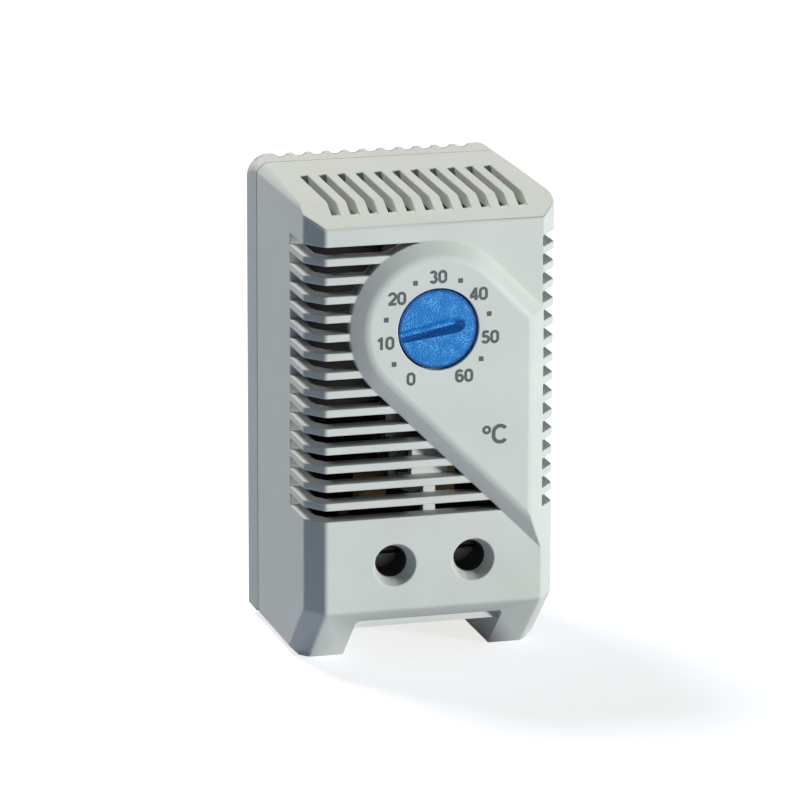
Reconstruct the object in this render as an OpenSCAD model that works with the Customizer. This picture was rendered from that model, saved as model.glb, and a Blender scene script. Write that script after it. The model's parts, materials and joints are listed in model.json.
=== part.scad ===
// Bimetal thermostat for cabinets: a thermal switch in a louvred housing that clips on a mounting rail.
// X runs to the right, Y to the back and Z up. The feet stand on Z = 0.
// Inside the modules Y counts from the front face; placed() moves each piece to the part's own origin,
// which lies below the middle of the part.

/* [Housing] */
// Width across the rear rim
case_w = 33; // [32:0.5:38]
// Height from the feet to the top of the rear rim
case_h = 60.8; // [59:0.2:66]
// Depth of the front housing, from its front face to the parting line
hood_d = 25.9; // [25:0.1:30]
// Depth of the rear base behind the parting line
rim_d = 4; // [3.5:0.1:6]
// How far the rim flares out on each side from the parting line to the back
rim_flare = 0.3; // [0.1:0.05:0.5]
// Thickness of the moulded walls
wall = 1.8; // [1.4:0.1:2.2]
// Width of the upright corner facets, seen from the front
corner_w = 2.15; // [1.6:0.05:2.8]
// Depth of the upright corner facets
corner_d = 2.75; // [2.2:0.05:3.4]
// Radius along the two side edges of the top
top_r = 2.8; // [2.2:0.1:3.4]
// Rise of the top from its front break to the parting line
top_rise = 0.8; // [0.2:0.1:1]

/* [Louvres] */
// Number of slots down each side
louvre_count = 15; // [11:1:16]
// Height of a slot
slot_h = 1.4; // [1:0.05:1.6]
// Height of a slat
slat_h = 1; // [0.8:0.05:1.2]
// Depth of a slat from front to back
slat_d = 2.5; // [2:0.1:2.8]
// How far back the slots run along the sides
vent_d = 9.3; // [7:0.1:12]
// Width of the upright rib behind the slats
rib_w = 1.5; // [1:0.1:2]
// Width of the broad part of that rib
rib_block_w = 4.6; // [3:0.1:6]
// Height of the broad part of that rib
rib_block_h = 4.5; // [3:0.1:6]
// Height of the narrow stretch of the rib below its broad part
rib_foot_h = 4; // [2:0.1:6]

/* [Top] */
// Drop from the rear rim to the front edge of the sloping top
lip_drop = 3.5; // [2.5:0.1:4]
// Height of the plain band above the louvres
lip_h = 2.3; // [1.8:0.1:3]
// Depth of the slope that leads to the top
bevel_d = 4.9; // [4:0.1:6]
// Number of slots in the top, and of notches in the rear rim
top_slot_count = 11; // [5:2:11]
// Spacing of the top slots
top_slot_pitch = 2.4; // [2:0.05:2.5]
// Width of a top slot
top_slot_w = 1.1; // [0.8:0.05:1.3]
// Depth at which the top slots start on the slope
top_slot_front = 2; // [1.6:0.1:3]
// Length of the ledge at the front end of a top slot
top_ledge_d = 1.6; // [0.8:0.1:2]
// Depth at which the top slots end
top_slot_rear = 18.5; // [12:0.5:21]
// Depth of the round notches in the rear rim's top edge
notch_h = 0.45; // [0.3:0.05:0.8]
// Width of those notches
notch_w = 1.8; // [1.2:0.1:1.8]

/* [Feet] */
// Height at which the front turns back towards the feet
foot_h = 8; // [7:0.1:9]
// Depth at which that slope reaches the ground
foot_run = 8.4; // [7.5:0.1:9.5]
// Width of the arch between the feet
arch_w = 19.2; // [17:0.2:20]
// Radius of the arch's upper corners
arch_r = 0.6; // [0.3:0.1:2]
// Height of the arch's ceiling
arch_h = 4.8; // [4:0.1:5.4]
// How much higher the arch is cut in the front slope
arch_front_rise = 1.5; // [0.8:0.1:2]
// Depth of that higher cut
arch_front_d = 4; // [3:0.1:5]
// Width and height of the small facet along the outer edge of each foot
foot_edge = 1.2; // [0.6:0.1:1.6]
// Depth over which the feet rise towards the back
heel_d = 4; // [2:0.1:6]
// How far the feet rise at the back
heel_h = 1; // [0.5:0.1:2]

/* [Dial] */
// Distance of the dial's centre below the top of the rear rim
dial_drop = 16.6; // [15:0.1:18]
// Radius of the dial
dial_r = 5; // [4.5:0.1:5.5]
// Thickness of the dial's disc
dial_t = 2.3; // [2:0.1:2.8]
// How far the dial's face lies below the plate around it
dial_recess = 0.3; // [0.1:0.05:0.6]
// Gap around the dial
dial_gap = 0.2; // [0.15:0.05:0.5]
// Angle of the pointer, clockwise from the top
dial_angle = -100; // [-150:5:150]
// Width of the pointer groove at its inner end
pointer_w = 2.1; // [1.2:0.1:2.4]
// Width of the pointer groove at the rim
pointer_tip_w = 1.4; // [0.6:0.1:1.6]
// Depth of the pointer groove at its inner end
pointer_d = 1; // [0.7:0.1:1.4]
// Width of the pointer groove's floor
pointer_floor_w = 0.3; // [0.2:0.05:0.5]
// Radius of the hub behind the dial
hub_r = 3; // [2.8:0.1:3.4]
// Radius of the raised plate around the dial, at its foot
plate_r = 11; // [10:0.1:11.5]
// Height of the raised plate
plate_h = 1.5; // [1:0.1:2]
// Width of the plate's sloping edge
plate_bevel = 1.9; // [1.4:0.1:2.4]

/* [Terminals] */
// Distance between the two terminals
terminal_pitch = 10.2; // [9.6:0.1:11]
// Height of the terminals
terminal_z = 13.8; // [13.4:0.1:14.6]
// Radius of the screwdriver guides
guide_r = 2.05; // [1.8:0.05:2.3]
// Radius of the funnels at the front
funnel_r = 2.75; // [2.5:0.05:3]
// Depth of the funnels
funnel_d = 1.9; // [1.4:0.1:2.4]
// Depth of the guides
guide_d = 6.6; // [5.5:0.1:7]
// Radius of a terminal screw's head
head_r = 2.5; // [2.2:0.1:2.7]
// Height of a terminal screw's head
head_h = 2; // [1.6:0.1:2.4]
// Radius of a terminal screw's thread
screw_r = 1.7; // [1.5:0.05:1.8]
// Inside width of a clamp cage
cage_in_w = 4.8; // [4.6:0.1:5.2]
// Height of a clamp cage
cage_h = 6.4; // [5.6:0.1:6.8]
// Thickness of a clamp cage's sides and back
cage_t = 0.8; // [0.6:0.1:1]
// Room for the wire in an open clamp
wire_room = 3.2; // [2.8:0.1:3.6]
// Travel of a clamp from open to closed
clamp_travel = 2.1; // [1.5:0.1:2.3]
// Width of a wire entry in the floor
entry_w = 5.4; // [4.8:0.1:5.8]

/* [Switch] */
// Height of the clamped leaf stack above the terminals
stack_rise = 10.4; // [10:0.1:12]
// Depth of the stack's front face
stack_y = 9; // [8.8:0.1:10]
// Radius of the stack
stack_r = 3.4; // [3.2:0.1:3.8]
// Thickness of the steel bracket
bracket_t = 1; // [0.8:0.1:1.2]
// Thickness of the front insulator
front_gap_t = 2; // [1.8:0.1:2.6]
// Thickness of the middle insulator
middle_gap_t = 1.6; // [1.4:0.1:2]
// Thickness of the rear insulator
rear_gap_t = 1.5; // [1:0.1:2]
// Thickness of the brass terminal bars
bar_t = 0.8; // [0.6:0.1:1]
// Width of the brass terminal bars
bar_w = 4.4; // [4:0.1:4.5]
// Thickness of the bimetal strip
bimetal_t = 0.6; // [0.5:0.05:0.8]
// Width of the bimetal strip
bimetal_w = 6.6; // [6:0.1:7]
// Thickness of the contact leaf
leaf_t = 0.4; // [0.3:0.05:0.5]
// Width of the contact leaf
leaf_w = 5.6; // [5:0.1:6.4]
// How far the strip and the leaf reach above the dial's centre
leaf_reach = 8; // [7.4:0.1:8.6]
// Height of the contacts above the dial's centre
contact_rise = 5.6; // [5.2:0.1:6]
// Radius of the contacts
contact_r = 1.5; // [1.2:0.1:1.6]
// Opening between the contacts as drawn
contact_gap = 0.2; // [0.18:0.01:0.3]
// Radius of the adjusting screw's thread
spindle_r = 2; // [1.8:0.05:2.1]
// Radius of the adjusting screw's insulating tip
tip_r = 1.2; // [1:0.1:1.4]

/* [Rail clip] */
// Width of the mounting rail
rail_w = 35; // [35:0.5:37]
// Thickness of the rail's edges
rail_t = 1; // [0.8:0.1:1.3]
// Height of the rail's middle line
rail_z = 30; // [29.5:0.1:32]
// Depth of the pedestal behind the rear rim
pedestal_d = 4.1; // [4:0.1:6]
// Width of the pedestal
pedestal_w = 26; // [25:0.5:27]
// How far the hooks stand behind the rail's face
hook_d = 5.5; // [4.5:0.1:6]
// How far the hooks and the latch grip behind the rail's edges
hook_grip = 1.7; // [1.2:0.1:2]
// Width of a hook
hook_w = 6; // [5:0.2:7]
// Height of the seat pads
pad_h = 0.4; // [0.3:0.05:0.6]
// Width of the latch's runners
latch_w = 12.4; // [11.5:0.1:13]
// Width of the latch's body
latch_body_w = 9; // [8:0.1:9.4]
// Travel of the latch from locked to released
latch_travel = 3; // [2:0.1:3]
// Outside radius of the latch spring
spring_r = 1.35; // [1.2:0.05:1.4]
// Radius of the spring wire
spring_wire_r = 0.2; // [0.15:0.01:0.25]

/* [Hidden] */
$fn = 48;

// Clearances
slide_gap = 0.2;     // between pieces that slide past each other
fit_gap = 0.15;      // between fixed pieces that slip together
run_gap = 0.05;      // around turning shafts and between faces that bear on each other
flex_gap = 0.15;     // on each side of a leaf that bends
seam = 0.12;         // parting line between housing and base
lap = 0.5;           // overlap that joins or cuts cleanly
hair = 0.01;         // by which a straight edge stays inside a round one that it runs into
far = 100;           // longer than any cut

// Colours
housing_grey = [0.80, 0.81, 0.78];
dial_blue = [0.10, 0.42, 0.80];
steel = [0.72, 0.73, 0.75];
brass = [0.82, 0.68, 0.36];
bronze = [0.75, 0.55, 0.33];
silver = [0.86, 0.86, 0.88];
ceramic = [0.92, 0.90, 0.85];

// Housing
floor_relief = 0.2;  // by which the floor is thinner than the walls
pocket_inset = 0.4;  // of the hollow behind the plate, from the plate's sloping edge
guide_t = 0.5;       // wall of the screwdriver guides beyond the funnels
nib_room = 0.1;      // around the snap nibs in their pockets
hood_half = case_w / 2 - rim_flare;
back_y = hood_d + rim_d;
hood_top = case_h - rim_flare;
break_z = hood_top - top_rise;
lip_top = case_h - lip_drop;
lip_bottom = lip_top - lip_h;
facet_x = hood_half - corner_w;
facet_len = norm([corner_w, corner_d]);
facet_wall = (slat_d + wall) / 2;
slot_pitch = slot_h + slat_h;
block_top = lip_bottom - (louvre_count - 1) * slot_pitch - slot_h;
floor_t = wall - floor_relief;
floor_z = arch_h + floor_t;
arch_half = arch_w / 2;
slot_ledge_z = lip_top + (break_z - lip_top) * top_slot_front / bevel_d;
notch_r = (notch_w * notch_w / 4 + notch_h * notch_h) / (2 * notch_h);
spigot_d = 2.4;
spigot_t = 1.3;
nib_h = 0.5;
nib_d = 1.2;
nib_len = 6;
nib_zs = [0.3 * case_h, 0.7 * case_h];

// Dial
clip_t = 0.5;        // thickness of the spring clip
clip_rim = 1.4;      // by which the clip stands out around the hub
groove_d = 0.5;      // depth of the hub's groove for the clip
hub_tail = 1.4;      // length of the hub behind the clip
hex_room = 1;        // free travel of the adjusting screw's hexagon in the hub
dial_z = case_h - dial_drop;
dial_face = dial_recess - plate_h;
dial_back = dial_face + dial_t;
dial_floor = dial_back + 2 * run_gap;
boss_end = dial_floor + wall;
boss_r = dial_r + dial_gap + wall;
clip_y = boss_end + run_gap;
clip_r = hub_r + clip_rim;
groove_r = hub_r - groove_d;
hub_end = clip_y + clip_t + hub_tail;
hex_r = 0.9 * spindle_r;
band_len = 2 * plate_r + case_w;

// Switch, from the front of the stack to the post that carries it
bolt_r = 1.5;        // radius of the stack's screw
bolt_head_r = 2.8;   // radius of its head
bolt_head_h = 1.8;   // height of its head
bolt_stop = 1.5;     // material left behind the end of its hole
drive_w = 0.8;       // width of the screwdriver slots
drive_d = 1.1;       // depth of the screwdriver slots
sleeve_t = 0.65;     // wall of the sleeve around the stack's screw
ring_rim = 0.2;      // by which the insulators stand out around the stack
bracket_neck = 1;    // height of the bracket's neck above the stack
bracket_side = 1.4;  // of the bracket beside the bush
bracket_brow = 1.8;  // of the bracket above the bush
bracket_fold = 2;    // width of the bracket's folded edges
bush_t = 1;          // wall of the bush
bush_nose = 1.6;     // length of the bush in front of the bracket
bush_rim = 1;        // by which the bush's flange stands out
bush_flange_t = 1;   // thickness of the bush's flange
spindle_seat = 1.3;  // depth behind the dial's floor at which the adjusting screw starts
spindle_neck = 1.2;  // of the screw's hexagon behind the hub
strip_swing = 1.5;   // room in front of the bimetal strip, where it bends towards the adjusting screw
tip_room = 0.8;      // around the screw's tip in the bimetal strip
bar_arm_h = 3;       // height of the bars' arms
contact_edge = 0.4;  // width of the contacts' sloping edge
contact_edge_h = 0.25; // height of the contacts' sloping edge
stack_z = terminal_z + stack_rise;
sleeve_r = bolt_r + run_gap + sleeve_t;
ring_r = stack_r + ring_rim;
front_gap_y = stack_y + bracket_t;
bimetal_bar_y = front_gap_y + front_gap_t;
bimetal_y = bimetal_bar_y + bar_t + flex_gap;
middle_gap_y = bimetal_y + bimetal_t + flex_gap;
leaf_y = middle_gap_y + middle_gap_t + flex_gap;
leaf_bar_y = leaf_y + leaf_t + flex_gap;
rear_gap_y = leaf_bar_y + bar_t;
post_y = rear_gap_y + rear_gap_t;
bush_r = spindle_r + bush_t;
spindle_front = dial_floor + spindle_seat;
spindle_shoulder = hub_end + spindle_neck;
spindle_end = bimetal_y - strip_swing;
tip_end = leaf_y - run_gap;
tip_peg_r = 0.8;
tip_peg_d = 1.5;
contact_z = dial_z + contact_rise;
contact_room = leaf_y - bimetal_y - bimetal_t - contact_gap;
rivet_r = 0.75;
rivet_head_r = 1.1;
rivet_head_h = 0.3;

// Terminals
cage_gap = 0.1;      // left between the closed cage and the screw's head
cage_front_t = 1.2;  // thickness of a cage's threaded front
chamber_set = 0.6;   // of the chambers' walls behind the screws' heads
chamber_rise = 1.5;  // of the chambers' walls above the cages
chamber_t = 1.4;     // thickness of the chambers' outer walls
foot_drop = 0.6;     // of the bars' feet below the cages
foot_bite = 0.4;     // of the bars' feet into the chambers' walls
entry_reach = 1;     // by which the wire entries run past the clamps
head_y = guide_d + 2 * slide_gap;
shank_y = head_y + head_h;
cage_y = shank_y + clamp_travel + cage_gap;
cage_back_y = leaf_bar_y + bar_t + wire_room + cage_t;
cage_w = cage_in_w + 2 * cage_t;
cage_z = terminal_z - cage_h / 2;
chamber_half = cage_w / 2 + slide_gap;
chamber_y = shank_y + chamber_set;
chamber_top = terminal_z + cage_h / 2 + chamber_rise;
bar_foot_z = floor_z + fit_gap;
bar_foot_top = cage_z - foot_drop;
bar_foot_half = chamber_half + foot_bite;
shelf_z = chamber_top + fit_gap;
entry_y = leaf_bar_y + bar_t / 2;
entry_d = cage_back_y - cage_t / 2 - entry_y + entry_reach;

// Rail clip
ped_below = 6;       // of the pedestal below the rail
ped_above = 5;       // of the pedestal above the rail
pad_gap = 1;         // between the seat pads and the latch, and from the pads to the rail's edges
pad_edge = 0.4;      // of the pedestal beside the pads
hook_t = 2.6;        // thickness of the hooks
hook_inset = 2;      // of the hooks from the pedestal's sides
hook_edge = 1;       // chamfer at the hooks' backs
lip_edge = 0.4;      // chamfer at the lips of the hooks and of the latch
runner_t = 1.8;      // thickness of the latch's runners
runner_inset = 0.5;  // of the runners from the pedestal's foot
track_depth = 3.6;   // depth of the latch's track
track_lip = 1.4;     // thickness of the lips that hold the runners
track_wall = 1.6;    // of the track's block
track_room = 1;      // above the latch in its track
latch_below = 9.2;   // of the latch below the rail
latch_above = 16.4;  // of the latch above the rail's lower edge
latch_slope = 4;     // height of the slope at the latch's foot
nose_d = 2;          // depth of the latch's foot behind the rail's face
pull_w = 4.4;        // width of the latch's screwdriver slot
pull_h = 1.4;        // height of that slot, and of what is left below it
window_rise = 2.8;   // of the spring's window above the rail's lower edge
window_h = 10.4;     // height of the spring's window
window_gap = 0.35;   // beside the spring in its window
ledge_h = 2;         // height of the ledge that carries the spring
spring_gap = 0.15;   // behind the spring, and around its pegs
spring_turns = 6;    // turns of the spring
peg_h = 1;           // height of the spring's pegs
seat_y = back_y + pedestal_d;
ped_face = seat_y - pad_h;
ped_half = pedestal_w / 2;
ped_foot = rail_z - rail_w / 2 - ped_below;
ped_top = rail_z + rail_w / 2 + ped_above;
grip_y = seat_y + rail_t + 1.5 * slide_gap;
hook_z = rail_z + rail_w / 2 + slide_gap;
hook_x = ped_half - hook_inset - hook_w / 2;
hook_xs = [-hook_x, hook_x];
hook_end = seat_y + hook_d;
latch_z = rail_z - rail_w / 2 - slide_gap;
latch_foot = latch_z - latch_below;
latch_top = latch_z + latch_above;
track_floor = ped_face - track_depth;
track_top = latch_top + track_room;
window_z = latch_z + window_rise;
window_top = window_z + window_h;
window_half = spring_r + window_gap;
ledge_z = window_z + slide_gap;
spring_z = ledge_z + ledge_h;
spring_y = track_floor + slide_gap + spring_r + spring_gap;
spring_h = window_top - spring_z;
peg_r = spring_r - 2 * spring_wire_r - spring_gap;

// The part's origin lies halfway between the plate's face and the backs of the hooks.
mid_y = (hook_end - plate_h) / 2;

// A flat shape drawn in Y and Z, drawn out along X.
module along_x(x, length) {
    translate([x, 0, 0])
        rotate([90, 0, 90])
            linear_extrude(length)
                children();
}

// A flat shape drawn in X and Z, drawn out along Y.
module along_y(y, length) {
    translate([0, y + length, 0])
        rotate([90, 0, 0])
            linear_extrude(length)
                children();
}

// A flat shape drawn in X and Y, drawn out along Z.
module along_z(z, length) {
    translate([0, 0, z])
        linear_extrude(length)
            children();
}

// A round bar along Y; r2 makes it a cone.
module rod_y(x, z, y, length, r, r2 = undef) {
    translate([x, y, z])
        rotate([-90, 0, 0])
            cylinder(h = length, r1 = r, r2 = is_undef(r2) ? r : r2);
}

// A six-sided bar along Y that turns with the dial, with r the distance from its middle to a flat.
module hex_y(y, length, r) {
    translate([0, y, dial_z])
        rotate([-90, dial_angle, 0])
            cylinder(h = length, r = r / cos(30), $fn = 6);
}

// Runs its children once on the left and once on the right.
module both_sides() {
    children();
    mirror([1, 0, 0])
        children();
}

// A rectangle with two round upper corners, standing on z.
module round_top(half, z, top, r) {
    translate([-half, z])
        square([2 * half, top - z - r]);
    translate([-half + r, z])
        square([2 * (half - r), top - z]);
    for (side = [-1, 1])
        translate([side * (half - r), top - r])
            circle(r);
}

// Outside of housing and base together.
module envelope() {
    rear_half = case_w / 2;
    intersection() {
        along_z(0, far)
            polygon([
                [-facet_x, 0], [-hood_half, corner_d], [-hood_half, hood_d], [-rear_half, back_y],
                [rear_half, back_y], [hood_half, hood_d], [hood_half, corner_d], [facet_x, 0]
            ]);
        along_x(-far / 2, far)
            polygon([
                [0, 0], [0, lip_top], [bevel_d, break_z], [hood_d, hood_top], [back_y, case_h],
                [back_y, heel_h], [back_y - heel_d, 0]
            ]);
        foot_slope();
        along_y(-lap, back_y + 2 * lap)
            difference() {
                round_top(rear_half, 0, case_h, top_r);
                both_sides()
                    polygon([
                        [hood_half - foot_edge, -lap], [hood_half - foot_edge, 0],
                        [hood_half, foot_edge], [rear_half + lap, foot_edge], [rear_half + lap, -lap]
                    ]);
            }
    }
}

// All that lies behind the slope on which the front and its corner facets turn back towards the feet.
module foot_slope() {
    length = norm([foot_run, foot_h]);
    out_x = case_w / 2 + lap;
    front = foot_run * foot_h / length;
    side = front + corner_d * foot_h / length * (out_x - facet_x) / corner_w;
    rotate([atan2(foot_run, foot_h), 0, 0])
        translate([0, 0, -far])
            linear_extrude(2 * far)
                polygon([
                    [-facet_x, front], [-out_x, side], [-out_x, far],
                    [out_x, far], [out_x, side], [facet_x, front]
                ]);
}

// Plan of the hollow inside; inset moves it further in from the walls.
module inside_plan(inset) {
    front = slat_d + inset;
    half = hood_half - wall - inset;
    facet = facet_wall + inset;
    out = facet * corner_d / facet_len;
    back = facet * corner_w / facet_len;
    front_share = (front - back) / corner_d;
    side_share = (hood_half + out - facet_x - wall - inset) / corner_w;
    turn_x = facet_x - out + front_share * corner_w;
    turn_y = back + side_share * corner_d;
    polygon([
        [-turn_x, front], [-half, turn_y], [-half, far],
        [half, far], [half, turn_y], [turn_x, front]
    ]);
}

// Front view of the hollow inside, with its two legs in the feet.
module inside_front(inset) {
    half = hood_half - wall - inset;
    leg_x = arch_half + wall + inset;
    round_top(half, floor_z + inset, hood_top - wall - inset, top_r - wall + lap);
    both_sides()
        translate([leg_x, wall + inset])
            square([half - leg_x, floor_z]);
}

// Side view of the hollow inside.
module inside_side() {
    slope = foot_h / foot_run;
    shift = wall * norm([foot_h, foot_run]) / foot_h;
    polygon([
        [0, foot_h + shift * slope], [0, lip_top - wall / 2], [bevel_d, break_z - wall],
        [hood_d, hood_top - wall], [far, hood_top - wall], [far, wall],
        [foot_run + shift - wall / slope, wall]
    ]);
}

module hood_cavity() {
    intersection() {
        along_z(0, far)
            inside_plan(0);
        along_x(-far / 2, far)
            inside_side();
        along_y(0, hood_d + lap)
            inside_front(0);
    }
}

// Outline of the drop-shaped plate: a round end and a band that runs down to the right at 45 degrees.
module plate_outline(inset) {
    r = plate_r - inset;
    intersection() {
        union() {
            circle(r);
            rotate(-45)
                translate([0, hair - r])
                    square([band_len, 2 * (r - hair)]);
        }
        translate([-far, -far])
            square([far + facet_x - inset, 2 * far]);
    }
}

// The raised plate with its sloping edge.
module dial_plate() {
    face_r = plate_r - plate_bevel;
    foot_half = plate_r - hair;
    face_half = face_r - hair;
    intersection() {
        union() {
            rod_y(0, dial_z, -plate_h, plate_h, face_r, plate_r);
            translate([0, 0, dial_z])
                rotate([0, 45, 0])
                    along_x(0, band_len)
                        polygon([
                            [0, -foot_half], [0, foot_half],
                            [-plate_h, face_half], [-plate_h, -face_half]
                        ]);
            translate([0, 0, dial_z])
                along_y(0, lap)
                    plate_outline(0);
        }
        along_z(0, case_h)
            polygon([
                [-far, lap], [facet_x, lap], [facet_x, 0],
                [facet_x - plate_bevel, -plate_h], [-far, -plate_h]
            ]);
    }
}

// Hollow behind the plate that keeps its wall even.
module plate_pocket() {
    translate([0, 0, dial_z])
        along_y(wall - plate_h, plate_h - wall + slat_d + lap)
            plate_outline(plate_bevel + pocket_inset);
}

module louvre_slots() {
    difference() {
        louvre_rows()
            translate([-far, -far])
                square([far + facet_x, far + vent_d]);
        translate([0, 0, dial_z])
            along_y(-lap, slat_d + 2 * lap)
                union() {
                    plate_outline(0);
                    square(far);
                }
    }
    louvre_rows()
        translate([facet_x - fit_gap, -far])
            square([far, far + vent_d]);
}

// One thin slice of the walls for each slot, within the zone given as a child.
module louvre_rows() {
    for (i = [0 : louvre_count - 1])
        along_z(lip_bottom - slot_h - i * slot_pitch, slot_h)
            difference() {
                children();
                inside_plan(fit_gap);
            }
}

function top_slot_x(i) = (i - (top_slot_count - 1) / 2) * top_slot_pitch;

// Slots through the top; each starts with a ledge on the slope.
module top_slots() {
    for (i = [0 : top_slot_count - 1])
        for (cut = [[top_slot_front, slot_ledge_z], [top_slot_front + top_ledge_d, lip_top - wall]])
            translate([top_slot_x(i) - top_slot_w / 2, cut[0], cut[1]])
                cube([top_slot_w, top_slot_rear - cut[0], far]);
}

// The arch between the feet, up to the height given.
module arch_shape(height) {
    round_top(arch_half, -lap, height, arch_r);
}

module arch_cut() {
    along_y(-lap, far)
        arch_shape(arch_h);
    along_y(-lap, arch_front_d + lap)
        arch_shape(arch_h + arch_front_rise);
}

// Upright rib that ties the slats together behind the front.
module louvre_rib() {
    block_z = block_top + rib_foot_h;
    for (part = [[rib_w, block_top - lap, block_z + lap], [rib_block_w, block_z, block_z + rib_block_h]])
        translate([-part[0] / 2, slat_d - lap / 5, part[1]])
            cube([part[0], wall, part[2] - part[1]]);
}

module wire_entries() {
    for (side = [-1, 1])
        translate([side * terminal_pitch / 2 - entry_w / 2, entry_y, arch_h - lap])
            cube([entry_w, entry_d, floor_t + 2 * lap]);
}

// Snap nibs on the base's spigot; room makes the matching pockets.
module snap_nibs(room) {
    half = hood_half - wall - fit_gap;
    both_sides()
        for (z = nib_zs)
            along_z(z - nib_len / 2 - room, nib_len + 2 * room)
                polygon([
                    [half - lap, hood_d - spigot_d + fit_gap - room],
                    [half + nib_h + room, hood_d - spigot_d + nib_d],
                    [half + nib_h + room, hood_d - spigot_d + nib_d + room],
                    [half - lap, hood_d - spigot_d + nib_d + room]
                ]);
}

module front_housing() {
    color(housing_grey)
        difference() {
            union() {
                difference() {
                    intersection() {
                        envelope();
                        translate([-far / 2, 0, 0])
                            cube([far, hood_d, far]);
                    }
                    hood_cavity();
                    louvre_slots();
                    plate_pocket();
                }
                difference() {
                    dial_plate();
                    plate_pocket();
                }
                rod_y(0, dial_z, dial_face, boss_end - dial_face, boss_r);
                louvre_rib();
                for (side = [-1, 1])
                    rod_y(side * terminal_pitch / 2, terminal_z, slat_d - lap, guide_d - slat_d + lap,
                        funnel_r + guide_t);
            }
            top_slots();
            arch_cut();
            wire_entries();
            snap_nibs(nib_room);
            rod_y(0, dial_z, -plate_h - lap, plate_h + dial_floor + lap, dial_r + dial_gap);
            rod_y(0, dial_z, 0, far, hub_r + run_gap);
            for (side = [-1, 1]) {
                rod_y(side * terminal_pitch / 2, terminal_z, -lap, guide_d + 2 * lap, guide_r);
                rod_y(side * terminal_pitch / 2, terminal_z, 0, funnel_d, funnel_r, guide_r);
            }
        }
}

// Walls of the two terminal chambers, with grooves that hold the feet of the bars.
module terminal_chambers() {
    x = terminal_pitch / 2;
    difference() {
        for (edge = [[-x + chamber_half, x - chamber_half], [x + chamber_half, x + chamber_half + chamber_t],
                [-x - chamber_half - chamber_t, -x - chamber_half]])
            translate([edge[0], chamber_y, floor_z + fit_gap])
                cube([edge[1] - edge[0], ped_face - wall + lap - chamber_y, chamber_top - floor_z - fit_gap]);
        for (side = [-1, 1])
            translate([side * x - bar_foot_half - fit_gap, leaf_bar_y - run_gap, 0])
                cube([2 * (bar_foot_half + fit_gap), bar_t + 2 * run_gap, bar_foot_top + fit_gap]);
    }
}

// Raised seats for the rail, clear of the hooks and of the latch.
module seat_pads() {
    inner = latch_w / 2 + pad_gap;
    height = rail_w - 2 * hook_grip - 2 * slide_gap - pad_gap;
    both_sides()
        translate([inner, ped_face - lap, rail_z - height / 2])
            cube([ped_half - pad_edge - inner, pad_h + lap, height]);
}

// Fixed hooks that take the rail's upper edge.
module rail_hooks() {
    for (x = hook_xs)
        along_x(x - hook_w / 2, hook_w)
            polygon([
                [ped_face - wall, hook_z], [grip_y, hook_z], [grip_y, hook_z - hook_grip],
                [grip_y + hook_grip, hook_z - hook_grip], [hook_end, hook_z - lip_edge],
                [hook_end, hook_z + hook_t - hook_edge], [hook_end - hook_edge, hook_z + hook_t],
                [ped_face - wall, hook_z + hook_t]
            ]);
}

// Track of the latch: broad below, narrow at the face.
module latch_track() {
    half = latch_w / 2 + slide_gap;
    mouth = latch_body_w / 2 + slide_gap;
    translate([-half, track_floor, -lap])
        cube([2 * half, track_depth - track_lip, track_top + lap]);
    translate([-mouth, track_floor, -lap])
        cube([2 * mouth, track_depth + 2 * lap, track_top + lap]);
}

// Peg that a spring end slips over.
module spring_peg(z, height) {
    translate([0, spring_y, z])
        cylinder(h = height, r = peg_r);
}

module rear_base() {
    block_half = latch_w / 2 + slide_gap + track_wall;
    color(housing_grey)
        union() {
            difference() {
                union() {
                    difference() {
                        intersection() {
                            envelope();
                            translate([-far / 2, hood_d + seam, 0])
                                cube([far, far, far]);
                        }
                        along_y(0, back_y - wall)
                            inside_front(fit_gap + spigot_t);
                        arch_cut();
                        rim_notches();
                    }
                    base_spigot();
                    snap_nibs(0);
                    pedestal();
                    translate([-block_half, track_floor - track_wall, ped_foot])
                        cube([2 * block_half, track_wall + track_depth, track_top + track_wall - ped_foot]);
                    seat_pads();
                    rail_hooks();
                    terminal_chambers();
                    rod_y(0, stack_z, post_y, track_floor - track_wall + lap - post_y, ring_r);
                }
                latch_track();
                hook_cores();
                rod_y(0, stack_z, post_y - lap, track_floor - post_y - lap, bolt_r + run_gap);
            }
            translate([-window_half + slide_gap, track_floor - lap, ledge_z])
                cube([2 * (window_half - slide_gap), spring_y + spring_r - track_floor + lap, ledge_h]);
            spring_peg(spring_z - lap, peg_h + lap);
        }
}

// Ring that plugs into the housing.
module base_spigot() {
    difference() {
        along_y(hood_d - spigot_d, spigot_d + seam + lap)
            inside_front(fit_gap);
        along_y(hood_d - spigot_d - lap, spigot_d + seam + 3 * lap)
            inside_front(fit_gap + spigot_t);
    }
}

module rim_notches() {
    for (i = [0 : top_slot_count - 1])
        rod_y(top_slot_x(i), case_h - notch_h + notch_r, hood_d + rim_d / 2, far, notch_r);
}

// Hollow block that carries the rail seat.
module pedestal() {
    difference() {
        translate([-ped_half, back_y - wall, ped_foot])
            cube([pedestal_w, ped_face - back_y + wall, ped_top - ped_foot]);
        translate([-ped_half + wall, back_y - wall - lap, ped_foot + wall])
            cube([pedestal_w - 2 * wall, ped_face - back_y + lap, ped_top - ped_foot - 2 * wall]);
    }
}

// Openings under the hooks' lips.
module hook_cores() {
    for (x = hook_xs)
        translate([x - hook_w / 2, ped_face - 2 * wall, hook_z - hook_grip - slide_gap])
            cube([hook_w, 2 * wall + lap, hook_grip + slide_gap]);
}

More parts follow.
